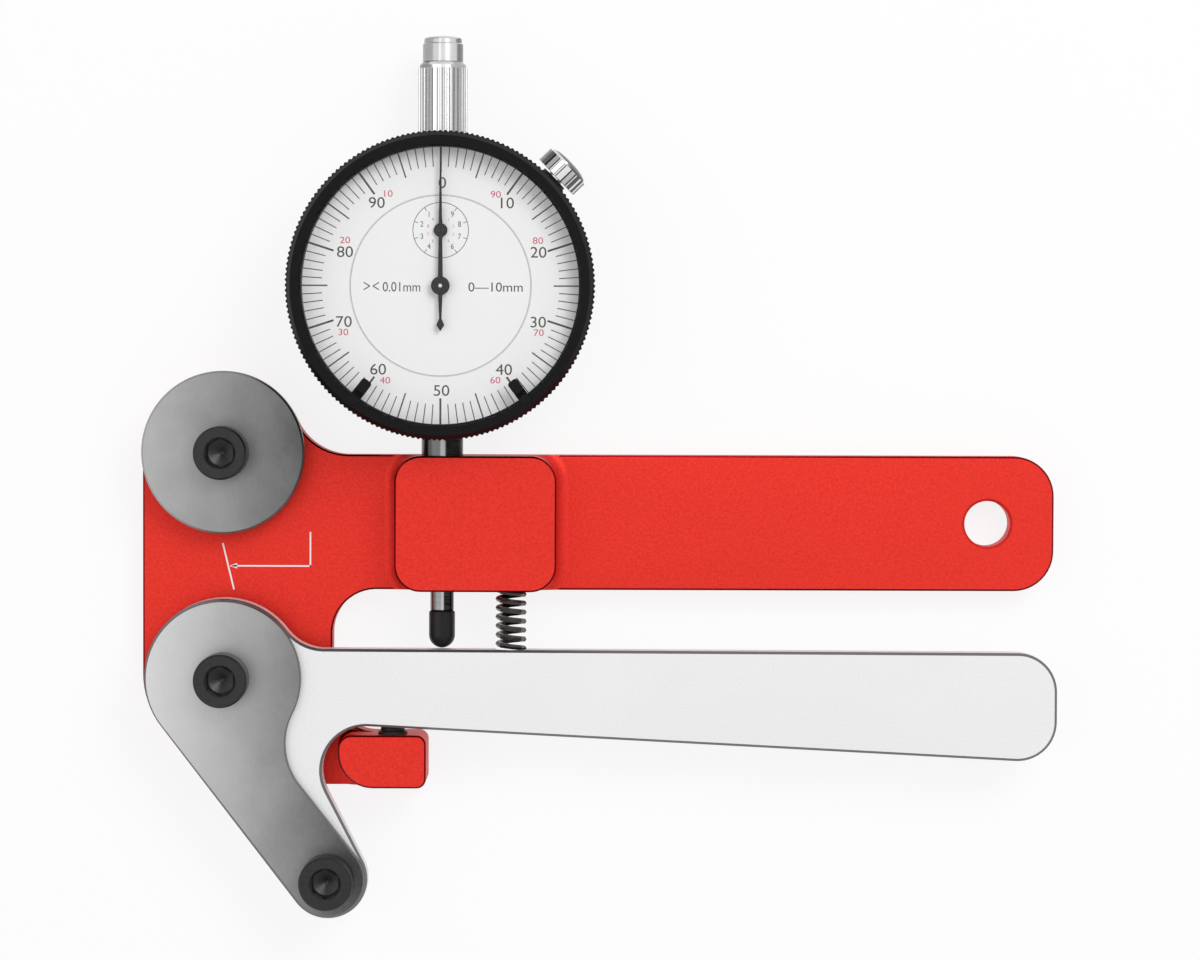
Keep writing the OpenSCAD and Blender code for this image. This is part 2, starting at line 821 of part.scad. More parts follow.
// The wire's middle line: a helix along Y with a short straight end at each
// side, square to its seat
ring_count = 8 * curls;
helix_low = spring_foot + slip + wire_d;
helix_high = spring_top - slip - wire_d;
function helix_point(i) =
    [spring_x + coil_r * cos(360 * i / 8),
     helix_low + (helix_high - helix_low) * i / ring_count,
     spring_z + coil_r * sin(360 * i / 8)];
wire_path = [helix_point(0) - [0, wire_d, 0], for (i = [0:ring_count]) helix_point(i),
             helix_point(ring_count) + [0, wire_d, 0]];

// Rings of 6 points round a path
function unit(v) = v / norm(v);
function ring(path, i, r) =
    let (last = len(path) - 1,
         before = path[max(i - 1, 0)],
         after = path[min(i + 1, last)],
         heading = unit(after - before),
         outward = unit(path[i] - [spring_x, path[i][1], spring_z]),
         side = unit(cross(heading, outward)),
         up = cross(side, heading))
    [for (k = [0:5]) path[i] + r * (cos(60 * k) * up + sin(60 * k) * side)];

module tube(path, r) {
    last = len(path) - 1;
    points = [for (i = [0:last]) each ring(path, i, r)];
    walls = [for (i = [0:last - 1], k = [0:5])
        let (a = 6 * i + k, b = 6 * i + (k + 1) % 6)
        each [[a, a + 6, b], [b, a + 6, b + 6]]];
    start_cap = [for (k = [1:4]) [0, k, k + 1]];
    end_cap = [for (k = [1:4]) [6 * last, 6 * last + k + 1, 6 * last + k]];
    polyhedron(points, concat(walls, start_cap, end_cap));
}

// Least gap between one curl and the next, measured on the path's points
curl_gap = min([for (i = [0:len(wire_path) - 1], j = [0:len(wire_path) - 1])
    if (j - i >= 6) norm(wire_path[i] - wire_path[j])]) - wire_d;
echo(least_gap_between_curls = curl_gap);

module return_spring() {
    color([0.3, 0.3, 0.32])
        tube(wire_path, wire_d / 2);
}

// -------------------------------------------------------- stem and plunger

module stem() {
    // clear of the tip's end when the plunger is pushed in
    stem_low = handle_y + 1.2;
    stem_len = dial_y - case_inner_r + inside_case - stem_low;
    color([0.75, 0.75, 0.77])
        along_y(stem_x, stem_low, stem_z)
            difference() {
                turned(stem_r, stem_len, fine_chamfer, fine_chamfer);
                translate([0, 0, -through])
                    cylinder(r = spindle_r + fit, h = stem_len + 2 * through);
            }
}

module upper_sleeve() {
    root = dial_y + case_inner_r - inside_case;
    shoulder = dial_y + case_r + slip - root;
    length = shoulder + upper_sleeve_len - slip;
    flute = 0.25;
    plain_end = 1.2;
    crown = 0.6;
    color([0.8, 0.8, 0.82])
        along_y(stem_x, root, stem_z)
            difference() {
                union() {
                    cylinder(r = sleeve_neck_r, h = shoulder + nip);
                    translate([0, 0, shoulder])
                        turned(upper_sleeve_r - flute - nip, length - shoulder,
                               fine_chamfer, crown);
                    translate([0, 0, shoulder + plain_end])
                        linear_extrude(height = length - shoulder - 2 * plain_end)
                            polygon(fluted(upper_sleeve_r, flute, sleeve_flutes));
                }
                translate([0, 0, -through])
                    cylinder(r = spindle_r + fit, h = length + 2 * through);
            }
}

// Plunger shaft with the rack's teeth cut in its left side
module spindle() {
    low = tip_y + tip_len;
    high = cap_y + cap_h - cap_roof;
    // first and last gap between teeth, counted from the pinion
    first = -7;
    last = 3;
    tooth = [-0.42, -0.2, 0.2, 0.42];
    clear_x = -spindle_r - through;
    color([0.82, 0.82, 0.84])
        difference() {
            along_y(stem_x, low, stem_z)
                turned(spindle_r, high - low, turned_chamfer / 2, fine_chamfer);
            along_y(stem_x, low - through, stem_z)
                cylinder(r = tip_stud_r + fit, h = tip_stud_h + 0.5 + through);
            translate([stem_x, dial_y + train_y, stem_z - spindle_r - through])
                linear_extrude(height = 2 * (spindle_r + through))
                    polygon(concat(
                        [[clear_x, rack_pitch * (first - 0.5)]],
                        [for (i = [first:last], part = [0:3])
                            [-rack_line + (part % 3 == 0 ? -rack_top : rack_root),
                             rack_pitch * (i + tooth[part])]],
                        [[clear_x, rack_pitch * (last + 0.5)]]));
        }
}

module plunger_tip() {
    color([0.07, 0.07, 0.07])
        along_y(stem_x, tip_y, stem_z) {
            translate([0, 0, tip_r])
                sphere(tip_r);
            translate([0, 0, tip_r])
                turned(tip_r, tip_len - tip_r, 0, fine_chamfer);
            translate([0, 0, tip_len - nip])
                cylinder(r = tip_stud_r, h = tip_stud_h);
        }
}

module lifting_cap() {
    waist = 0.35;
    // radii taken off the cap, at shares of its height
    profile = [[fine_chamfer, 0], [0, 0.06], [0, 0.42], [waist, 0.5], [waist, 0.82],
               [2 * waist, 0.94], [cap_roof, 1]];
    color([0.82, 0.82, 0.84])
        along_y(stem_x, cap_y + slip, stem_z)
            difference() {
                rotate_extrude()
                    polygon(concat([[0, 0]],
                                   [for (p = profile) [cap_r - p[0], p[1] * cap_h]],
                                   [[0, cap_h]]));
                translate([0, 0, -through])
                    cylinder(r = spindle_r + fit, h = cap_h - cap_roof + through);
            }
}

// --------------------------------------------------------------- dial case

screw_circle = case_inner_r - 1.6;
cover_z = case_back + cover_t;
knob_z = bezel_back - 3.7;

module at_cover_screws() {
    for (i = [0:cover_screws - 1])
        rotate(45 + 360 / cover_screws * i)
            translate([screw_circle, 0, 0])
                children();
}

// Turns a shape that stands along Z so that it points out of the case at
// the lock screw
module at_lock(reach) {
    at_dial(knob_z)
        rotate(lock_angle)
            translate([reach, 0, 0])
                rotate([0, 90, 0])
                    children();
}

module dial_case() {
    ledge_h = 0.8;
    ledge_w = 1;
    back_edge = 0.6;
    lock_wall = 1.2;
    color([0.2, 0.2, 0.21])
        difference() {
            union() {
                at_dial()
                    difference() {
                        translate([0, 0, case_back])
                            turned(case_r, case_front - case_back, back_edge, 0.2);
                        translate([0, 0, case_back - through])
                            cylinder(r = cover_seat_r, h = cover_t + through);
                        translate([0, 0, case_back])
                            cylinder(r = case_inner_r, h = case_front);
                    }
                // ledge under the movement plate
                at_dial(plate_low_z - ledge_h)
                    difference() {
                        cylinder(r = case_inner_r + nip, h = ledge_h);
                        translate([0, 0, -through])
                            cylinder(r = case_inner_r - ledge_w, h = ledge_h + 2 * through);
                    }
                // bosses for the rear cover's screws
                at_dial(cover_z)
                    at_cover_screws()
                        cylinder(r = cover_screw_r + 1, h = cover_screw_len + 1.5);
                at_lock(case_inner_r + case_wall / 4)
                    cylinder(r = lock_r + lock_wall, h = bezel_r - case_inner_r);
            }
            along_y(stem_x, dial_y - case_r - through, stem_z)
                cylinder(r = stem_r + fit, h = case_r);
            along_y(stem_x, dial_y, stem_z)
                cylinder(r = sleeve_neck_r + fit, h = case_r + through);
            at_lock(case_inner_r / 2)
                cylinder(r = lock_r + fit, h = case_inner_r);
            at_dial(cover_z - through)
                at_cover_screws()
                    cylinder(r = cover_screw_r + fit, h = cover_screw_len + 0.5 + through);
        }
}

module back_cover() {
    color([0.25, 0.25, 0.26])
        at_dial(case_back)
            difference() {
                turned(cover_seat_r - fit, cover_t, 0.2, 0.1);
                translate([0, 0, -through])
                    at_cover_screws()
                        cylinder(r = cover_screw_r + fit, h = cover_t + 2 * through);
                at_cover_screws()
                    cylinder(r1 = 2 * cover_screw_r + fit, r2 = cover_screw_r + fit,
                             h = cover_screw_r);
            }
}

module back_cover_screws() {
    slot = 0.4;
    color([0.75, 0.75, 0.77])
        at_dial(case_back)
            at_cover_screws()
                difference() {
                    union() {
                        cylinder(r1 = 2 * cover_screw_r, r2 = cover_screw_r,
                                 h = cover_screw_r);
                        cylinder(r = cover_screw_r, h = cover_t + cover_screw_len);
                    }
                    translate([-2 * cover_screw_r, -slot / 2, -through])
                        cube([4 * cover_screw_r, slot, slot + through]);
                }
}

// ---------------------------------------------------------------- movement

arbors = [[0, 0], [0, counter_y], [train_x, train_y]];

module arbor_holes(z, h) {
    for (place = arbors)
        translate([place[0], place[1], z])
            cylinder(r = arbor_r + fit, h = h);
}

module movement_plate() {
    color([0.8, 0.66, 0.36])
        at_dial(plate_low_z)
            difference() {
                cylinder(r = case_inner_r - fit, h = plate_thick);
                arbor_holes(-through, plate_thick + 2 * through);
            }
}

// Bridge over the plunger, with pillars up to the plate
module movement_bridge() {
    pad_r = 2.4;
    links = [[arbors[0], pillars[0]], [arbors[0], pillars[1]],
             [arbors[0], arbors[1]], [arbors[0], arbors[2]],
             [arbors[2], pillars[2]]];
    color([0.8, 0.66, 0.36])
        at_dial(bridge_z)
            difference() {
                union() {
                    linear_extrude(height = bridge_t)
                        for (link = links) {
                            translate(link[0])
                                circle(pad_r);
                            translate(link[1])
                                circle(pad_r);
                            tangent_link(link[0], pad_r, link[1], pad_r);
                        }
                    for (place = pillars)
                        translate([place[0], place[1], 0])
                            cylinder(r = pillar_r, h = plate_low_z - bridge_z);
                }
                arbor_holes(-through, bridge_t + 2 * through);
            }
}

wheel_step = 360 / wheel_teeth;
centre_step = 360 / centre_teeth;
train_heading = atan2(train_y, train_x);
// Turn of a wheel that meshes with the centre pinion at a heading
function mesh_turn(heading) =
    heading + 180 + wheel_step * ((heading - 90) / centre_step - 0.5);

module wheel(turn) {
    spokes = 5;
    difference() {
        linear_extrude(height = wheel_t)
            polygon(gear_outline(wheel_teeth, wheel_module, wheel_top, wheel_root, turn));
        translate([0, 0, -through])
            cylinder(r = arbor_r, h = wheel_t + 2 * through);
        for (i = [0:spokes - 1])
            rotate(360 / spokes * (i + 0.5))
                translate([wheel_r * 0.55, 0, -through])
                    cylinder(r = wheel_r * 0.24, h = wheel_t + 2 * through);
    }
}

module rack_pinion() {
    pinion_h = 2;
    end_h = 0.5;
    low = stem_z - pinion_h / 2;
    color([0.8, 0.8, 0.82])
        at_dial()
            translate([train_x, train_y, 0]) {
                translate([0, 0, low])
                    linear_extrude(height = pinion_h)
                        polygon(gear_outline(pinion_teeth, rack_pitch / PI,
                                             0.26, rack_root));
                translate([0, 0, low - end_h])
                    cylinder(r = arbor_r, h = plate_low_z + plate_thick + end_h - low);
            }
}

module rack_wheel() {
    color([0.8, 0.66, 0.36])
        at_dial(wheel_z)
            translate([train_x, train_y, 0])
                wheel(mesh_turn(train_heading));
}

module centre_pinion() {
    wider = 0.3;
    color([0.8, 0.8, 0.82])
        at_dial() {
            translate([0, 0, wheel_z - wider])
                linear_extrude(height = wheel_t + 2 * wider)
                    polygon(gear_outline(centre_teeth, wheel_module,
                                         wheel_top, wheel_root, 90));
            translate([0, 0, bridge_z])
                cylinder(r = arbor_r, h = hand_z - bridge_z);
            translate([0, 0, bridge_z])
                cylinder(r = pivot_r, h = hub_z - bridge_z);
        }
}

module counter_arbor() {
    color([0.8, 0.8, 0.82])
        at_dial(bridge_z)
            translate([0, counter_y, 0])
                cylinder(r = arbor_r, h = small_hand_z + hand_t + 0.3 - bridge_z);
}

module counter_wheel() {
    color([0.8, 0.66, 0.36])
        at_dial(wheel_z)
            translate([0, counter_y, 0])
                wheel(mesh_turn(90));
}

// ------------------------------------------------------------------- hands

module main_hand() {
    hub_r = 1.76;
    hub_chamfer = 0.15;
    // half widths of the hand, at heights over its axis
    right = [[0.12, hand_len], [0.48, 0], [0.23, -0.72 * tail_len],
             [0.76, -0.87 * tail_len]];
    color([0.05, 0.05, 0.05])
        at_dial(hand_z)
            difference() {
                union() {
                    linear_extrude(height = hand_t)
                        polygon(concat(right, [[0, -tail_len]],
                                       [for (i = [3:-1:0]) [-right[i][0], right[i][1]]]));
                    turned(hub_r, hub_z - hand_z - 0.1, 0, hub_chamfer);
                }
                translate([0, 0, -through])
                    cylinder(r = pivot_r, h = hub_z);
            }
}

module counter_hand() {
    hub_r = 1.3;
    hub_rise = 0.15;
    tail = 2.2;
    color([0.05, 0.05, 0.05])
        at_dial(small_hand_z)
            translate([0, counter_y, 0])
                difference() {
                    union() {
                        linear_extrude(height = hand_t)
                            polygon([[-0.5, 0], [-0.1, small_hand_len],
                                     [0.1, small_hand_len], [0.5, 0], [0.3, -tail],
                                     [-0.3, -tail]]);
                        turned(hub_r, hand_t + hub_rise, 0, 0.1);
                    }
                    translate([0, 0, -through])
                        cylinder(r = arbor_r, h = hub_z);
                }
}

// -------------------------------------------------- bezel, face and crystal

module bezel() {
    body_r = bezel_r - knurl_depth;
    edge = 0.5;
    rim = 0.7;
    knurl_low = bezel_back + 0.8;
    knurl_high = bezel_front - 1.4;
    color([0.1, 0.1, 0.1])
        at_dial() {
            rotate_extrude()
                polygon([[bezel_bore_r, bezel_back], [body_r - edge, bezel_back],
                         [body_r, bezel_back + edge], [body_r, bezel_front - 1.1],
                         [body_r - rim, bezel_front], [bezel_lip_r + edge, bezel_front],
                         [bezel_lip_r, bezel_front - rim],
                         [bezel_lip_r, crystal_z + crystal_t],
                         [crystal_r, crystal_z + crystal_t], [crystal_r, crystal_z],
                         [bezel_lip_r, crystal_z], [bezel_lip_r, face_z + face_t],
                         [bezel_bore_r, face_z + face_t]]);
            difference() {
                translate([0, 0, knurl_low])
                    linear_extrude(height = knurl_high - knurl_low)
                        polygon([for (i = [0:2 * bezel_knurls - 1])
                            (i % 2 == 0 ? bezel_r : body_r + nip)
                            * [cos(180 * i / bezel_knurls), sin(180 * i / bezel_knurls)]]);
                translate([0, 0, bezel_back])
                    cylinder(r = body_r - fine_chamfer, h = bezel_front - bezel_back);
            }
        }
}

module crystal() {
    color([0.9, 0.95, 1, 0.3])
        at_dial(crystal_z)
            cylinder(r = crystal_r - fit, h = crystal_t);
}

// Outer ring of the dial face, which turns with the bezel
module dial_ring() {
    color([0.93, 0.93, 0.93])
        at_dial(face_z)
            difference() {
                cylinder(r = face_r, h = face_t);
                translate([0, 0, -through])
                    cylinder(r = face_centre_r + slip, h = face_t + 2 * through);
            }
}

// Fixed centre of the dial face, on feet that stand on the movement plate
module dial_centre() {
    foot_r = 0.8;
    foot_at = face_centre_r - 3;
    foot_h = face_z - plate_low_z - plate_thick;
    room = 0.5;
    color([0.93, 0.93, 0.93])
        at_dial(face_z)
            difference() {
                union() {
                    cylinder(r = face_centre_r, h = face_t);
                    for (i = [0:2])
                        rotate(120 * i - 90)
                            translate([foot_at, 0, -foot_h])
                                cylinder(r = foot_r, h = foot_h + nip);
                }
                translate([0, 0, -through])
                    cylinder(r = arbor_r + 2 * room, h = face_t + 2 * through);
                translate([0, counter_y, -through])
                    cylinder(r = arbor_r + room, h = face_t + 2 * through);
            }
}

// Clip that marks a tolerance limit: it hooks over the bezel's lip
module marker(turn) {
    sheet = 0.4;
    hook = 0.5;
    corner_r = 0.6;
    low_z = crystal_z + crystal_t + 0.1;
    hook_z = bezel_front + slip;
    edge = bezel_lip_r - 0.15;
    color([0.04, 0.04, 0.04])
        at_dial()
            rotate(turn)
                intersection() {
                    translate([0, marker_w, 0])
                        rotate([90, 0, 0])
                            linear_extrude(height = 2 * marker_w)
                                polygon([[edge - marker_len, low_z], [edge, low_z],
                                         [edge, bezel_front - 0.8],
                                         [edge + hook, hook_z], [edge + 3 * hook, hook_z],
                                         [edge + 3 * hook, hook_z + sheet],
                                         [edge, hook_z + sheet],
                                         [edge - 2 * hook, low_z + sheet],
                                         [edge - marker_len, low_z + sheet]]);
                    translate([0, 0, low_z - through])
                        linear_extrude(height = bezel_front)
                            rounded_box([edge - marker_len, -marker_w / 2],
                                        [edge + 4 * hook, marker_w / 2],
                                        [corner_r, 0, 0, corner_r]);
                }
}

module marker_left() {
    marker(270 - marker_angle);
}

module marker_right() {
    marker(270 + marker_angle);
}

module lock_screw() {
    start = bezel_r + 0.8;
    shank = start - case_inner_r - fine_chamfer;
    notch = 0.3;
    // radii taken off the knob's end, at heights over it
    crown = [[0.4, 0], [0.6, 0.4], [1.6, 0.8], [3, 1]];
    color([0.8, 0.8, 0.82])
        at_lock(start) {
            linear_extrude(height = knob_t)
                polygon(fluted(knob_r, notch, knob_notches, 0.6));
            translate([0, 0, knob_t - nip])
                rotate_extrude()
                    polygon(concat([[0, 0]], [for (p = crown) [knob_r - p[0], p[1]]],
                                   [[0, 1.05]]));
            translate([0, 0, -shank])
                cylinder(r = lock_r, h = shank + nip);
        }
}

frame();
upper_disc();
upper_bolt();
pivot_sleeve();
pivot_bolt();
stop_screw();
stem_set_screw();
stem();
upper_sleeve();
dial_case();
back_cover();
back_cover_screws();
movement_plate();
movement_bridge();
lever();
leg_plate();
lever_bush();
lower_bolt();
lower_pin();
spindle();
plunger_tip();
lifting_cap();
rack_pinion();
rack_wheel();
centre_pinion();
main_hand();
counter_arbor();
counter_wheel();
counter_hand();
bezel();
crystal();
dial_ring();
dial_centre();
marker_left();
marker_right();
lock_screw();
return_spring();
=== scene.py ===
import json
import math

import bmesh
import bpy
from mathutils import Matrix, Vector

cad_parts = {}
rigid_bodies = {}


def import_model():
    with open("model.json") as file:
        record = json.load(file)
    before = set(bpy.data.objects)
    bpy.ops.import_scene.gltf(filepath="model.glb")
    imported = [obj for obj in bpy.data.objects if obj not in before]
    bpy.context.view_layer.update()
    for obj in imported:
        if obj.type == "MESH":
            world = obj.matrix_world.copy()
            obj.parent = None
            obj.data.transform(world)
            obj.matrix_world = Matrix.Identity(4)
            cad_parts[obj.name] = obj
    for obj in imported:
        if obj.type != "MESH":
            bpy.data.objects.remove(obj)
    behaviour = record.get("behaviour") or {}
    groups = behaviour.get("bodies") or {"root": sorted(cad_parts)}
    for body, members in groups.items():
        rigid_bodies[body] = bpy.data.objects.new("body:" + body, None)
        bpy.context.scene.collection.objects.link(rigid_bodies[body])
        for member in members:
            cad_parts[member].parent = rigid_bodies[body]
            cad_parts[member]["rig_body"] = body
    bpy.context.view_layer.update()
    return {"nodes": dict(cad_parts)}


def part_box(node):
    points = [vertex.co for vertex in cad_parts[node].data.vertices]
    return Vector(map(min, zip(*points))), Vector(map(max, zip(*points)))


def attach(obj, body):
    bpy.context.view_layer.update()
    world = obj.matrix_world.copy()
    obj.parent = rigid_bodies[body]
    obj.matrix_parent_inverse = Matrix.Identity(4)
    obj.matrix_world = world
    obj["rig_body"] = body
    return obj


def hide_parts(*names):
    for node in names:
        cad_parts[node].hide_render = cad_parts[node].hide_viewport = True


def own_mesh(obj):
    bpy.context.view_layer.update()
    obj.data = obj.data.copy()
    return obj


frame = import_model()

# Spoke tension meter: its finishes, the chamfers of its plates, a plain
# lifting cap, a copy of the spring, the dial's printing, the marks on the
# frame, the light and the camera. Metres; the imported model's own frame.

NODES = frame["nodes"]

MM = 0.001


def axis_of(node):
    """The upright axis through the middle of a round node."""
    low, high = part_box(node)
    return Vector(((low.x + high.x) / 2, (low.y + high.y) / 2, 0))


DIAL_AXIS = axis_of("dial_ring")
COUNTER_AXIS = axis_of("counter_wheel")
FACE_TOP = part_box("dial_centre")[1].z
FRAME_TOP = 6 * MM
INK = 0.012 * MM
SHARP_EDGE = math.radians(28)


def add_object(name, data):
    """A new object in the scene."""
    made = bpy.data.objects.new(name, data)
    bpy.context.scene.collection.objects.link(made)
    return made


def smooth_mesh(work, name):
    """A mesh made from a working one, smooth but for its sharp edges."""
    data = bpy.data.meshes.new(name)
    work.to_mesh(data)
    work.free()
    data.shade_smooth()
    data.set_sharp_from_angle(angle=SHARP_EDGE)
    return data


# ---------------------------------------------------------------- materials

def feed(tree, socket, value):
    """Sets a plain value on a socket, or links another socket to it."""
    if isinstance(value, (int, float, tuple)):
        socket.default_value = value
    else:
        tree.links.new(value, socket)


def math_node(tree, operation, *values):
    node = tree.nodes.new("ShaderNodeMath")
    node.operation = operation
    for socket, value in zip(node.inputs, values):
        feed(tree, socket, value)
    return node.outputs[0]


def noise_node(tree, vector, scale, detail):
    node = tree.nodes.new("ShaderNodeTexNoise")
    node.inputs["Detail"].default_value = detail
    tree.links.new(vector, node.inputs["Vector"])
    feed(tree, node.inputs["Scale"], scale)
    return node.outputs["Fac"]


def stretch_node(tree, place, scales):
    """A place multiplied by a scale for each axis."""
    node = tree.nodes.new("ShaderNodeVectorMath")
    node.operation = "MULTIPLY"
    tree.links.new(place, node.inputs[0])
    feed(tree, node.inputs[1], scales)
    return node.outputs[0]


def ramp_node(tree, value, low, high):
    """Rises softly from 0 to 1 as the value goes from low to high."""
    node = tree.nodes.new("ShaderNodeMapRange")
    node.interpolation_type = "SMOOTHSTEP"
    node.inputs["From Min"].default_value = low
    node.inputs["From Max"].default_value = high
    tree.links.new(value, node.inputs["Value"])
    return node.outputs["Result"]


def about_zero(tree, noise, amount):
    """A noise moved to lie about zero, times an amount."""
    return math_node(tree, "MULTIPLY", math_node(tree, "SUBTRACT", noise, 0.5),
                     amount)


def new_group(name, inputs):
    """An empty shader node group with the inputs and outputs of a finish."""
    group = bpy.data.node_groups.new(name, "ShaderNodeTree")
    for label, kind, value in inputs:
        made = group.interface.new_socket(label, in_out="INPUT",
                                          socket_type="NodeSocket" + kind)
        made.default_value = value
    for label, kind in (("Colour", "Color"), ("Roughness", "Float"),
                        ("Normal", "Vector")):
        group.interface.new_socket(label, in_out="OUTPUT",
                                   socket_type="NodeSocket" + kind)
    source = group.nodes.new("NodeGroupInput")
    target = group.nodes.new("NodeGroupOutput")
    return group, source.outputs, target.inputs


def join_outputs(group, source, target, shade, rougher, height):
    """Joins a finish to its group's outputs: the colour times one and the
    shade, the roughness with what makes it rougher, and the height's bump."""
    colour = group.nodes.new("ShaderNodeVectorMath")
    colour.operation = "SCALE"
    group.links.new(source["Colour"], colour.inputs[0])
    group.links.new(math_node(group, "ADD", shade, 1), colour.inputs["Scale"])
    bump = group.nodes.new("ShaderNodeBump")
    bump.inputs["Strength"].default_value = 1
    group.links.new(height, bump.inputs["Height"])
    group.links.new(source["Depth"], bump.inputs["Distance"])
    group.links.new(colour.outputs[0], target["Colour"])
    group.links.new(math_node(group, "ADD", source["Roughness"], rougher),
                    target["Roughness"])
    group.links.new(bump.outputs["Normal"], target["Normal"])


def blasted_grain():
    """The fine grain that bead blasting leaves, with the faint clouds of a
    dyed or handled surface."""
    cloud_scale = 45
    cloud_roughness = 1.5
    group, source, target = new_group("blasted grain", (
        ("Colour", "Color", (0.5, 0.5, 0.5, 1)),
        ("Speckle", "Float", 0.1),
        ("Cloud", "Float", 0.04),
        ("Grain Scale", "Float", 3000),
        ("Roughness", "Float", 0.45),
        ("Depth", "Float", 0.00001),
    ))
    place = group.nodes.new("ShaderNodeTexCoord").outputs["Object"]
    grain = noise_node(group, place, source["Grain Scale"], 3)
    speck = about_zero(group, grain, source["Speckle"])
    haze = about_zero(group, noise_node(group, place, cloud_scale, 3),
                      source["Cloud"])
    join_outputs(group, source, target, math_node(group, "ADD", speck, haze),
                 math_node(group, "MULTIPLY", haze, cloud_roughness), grain)
    return group


STREAK_ROUGHNESS = 0.6


def drawn_grain():
    """Long fine lines that a belt or a brush leaves in steel, and painted shade
    across the piece: a slope of tone along X, lighter on one side, darker on the
    other."""
    cloud_scale = 110
    group, source, target = new_group("drawn grain and painted shade", (
        ("Colour", "Color", (0.5, 0.5, 0.5, 1)),
        ("Streak", "Float", 0.2),
        ("Grain", "Vector", (5000, 120, 300)),
        ("Fade", "Float", 0),
        ("Painted Shade Middle", "Float", 0),
        ("Cloud", "Float", 0.1),
        ("Roughness", "Float", 0.35),
        ("Depth", "Float", 0.000004),
    ))
    place = group.nodes.new("ShaderNodeTexCoord").outputs["Object"]
    lines = noise_node(group, stretch_node(group, place, source["Grain"]), 1, 4)
    split = group.nodes.new("ShaderNodeSeparateXYZ")
    group.links.new(place, split.inputs[0])
    across = math_node(group, "SUBTRACT", split.outputs["X"],
                       source["Painted Shade Middle"])
    painted_shade = math_node(group, "MULTIPLY", across, source["Fade"])
    streak = about_zero(group, lines, source["Streak"])
    haze = about_zero(group, noise_node(group, place, cloud_scale, 3),
                      source["Cloud"])
    shade = math_node(group, "ADD", math_node(group, "ADD", streak, painted_shade), haze)
    join_outputs(group, source, target, shade,
                 math_node(group, "MULTIPLY", streak, STREAK_ROUGHNESS), lines)
    return group


def turned_grain():
    """Fine turning lines round a bright piece that runs along Y, with painted
    reflection: long dark stripes down either side, set by which way each face
    points."""
    band_edge = 0.12
    turning_lines = (300, 3500, 300)
    group, source, target = new_group("turned grain and painted reflection", (
        ("Colour", "Color", (0.7, 0.7, 0.7, 1)),
        ("Right Painted Reflection", "Float", 0.7),
        ("Right Start", "Float", 0.12),
        ("Left Painted Reflection", "Float", 0.3),
        ("Left Start", "Float", 0),
        ("Streak", "Float", 0.1),
        ("Roughness", "Float", 0.22),
        ("Depth", "Float", 0.000002),
    ))
    place = group.nodes.new("ShaderNodeTexCoord")
    lines = noise_node(group, stretch_node(group, place.outputs["Object"],
                                           turning_lines), 1, 4)
    facing = group.nodes.new("ShaderNodeSeparateXYZ")
    group.links.new(place.outputs["Normal"], facing.inputs[0])
    slope = facing.outputs["X"]
    # Painted reflection: darker where the face points right or left
    past_right = math_node(group, "SUBTRACT", slope, source["Right Start"])
    past_left = math_node(group, "SUBTRACT", source["Left Start"], slope)
    right = math_node(group, "MULTIPLY",
                      ramp_node(group, past_right, 0, band_edge),
                      source["Right Painted Reflection"])
    left = math_node(group, "MULTIPLY",
                     ramp_node(group, past_left, 0, band_edge),
                     source["Left Painted Reflection"])
    bands = math_node(group, "ADD", right, left)
    streak = about_zero(group, lines, source["Streak"])
    join_outputs(group, source, target,
                 math_node(group, "SUBTRACT", streak, bands),
                 math_node(group, "MULTIPLY", streak, STREAK_ROUGHNESS), lines)
    return group


BLASTED = blasted_grain()
DRAWN = drawn_grain()
TURNED = turned_grain()


def finish_of(name, group, values, metallic, specular=0.5):
    """A material: one Principled shader fed by a finish group, with its own
    plain socket values."""
    made = bpy.data.materials.new(name)
    made.use_nodes = True
    tree = made.node_tree
    shader = tree.nodes["Principled BSDF"]
    shader.inputs["Metallic"].default_value = metallic
    shader.inputs["Specular IOR Level"].default_value = specular
    grain = tree.nodes.new("ShaderNodeGroup")
    grain.node_tree = group
    grain.label = group.name
    for label, value in values.items():
        grain.inputs[label].default_value = value
    tree.links.new(grain.outputs["Colour"], shader.inputs["Base Color"])
    tree.links.new(grain.outputs["Roughness"], shader.inputs["Roughness"])
    tree.links.new(grain.outputs["Normal"], shader.inputs["Normal"])
    return made


def blasted(name, colour, speckle, roughness, metallic, scale=3000, cloud=0.04,
            specular=0.5):
    return finish_of(name, BLASTED, {
        "Colour": (*colour, 1), "Speckle": speckle, "Cloud": cloud,
        "Grain Scale": scale, "Roughness": roughness,
    }, metallic, specular)


def drawn(name, colour, streak, roughness, grain=(5000, 120, 300), painted_shade=0,
          middle=0, cloud=0.05):
    return finish_of(name, DRAWN, {
        "Colour": (*colour, 1), "Streak": streak, "Grain": grain, "Fade": painted_shade,
        "Painted Shade Middle": middle, "Cloud": cloud, "Roughness": roughness,
    }, 1)


def turned(name, colour, right, left, roughness, starts=(0.12, 0), streak=0.1):
    return finish_of(name, TURNED, {
        "Colour": (*colour, 1), "Right Painted Reflection": right, "Right Start": starts[0],
        "Left Painted Reflection": left, "Left Start": starts[1], "Streak": streak,
        "Roughness": roughness,
    }, 1)


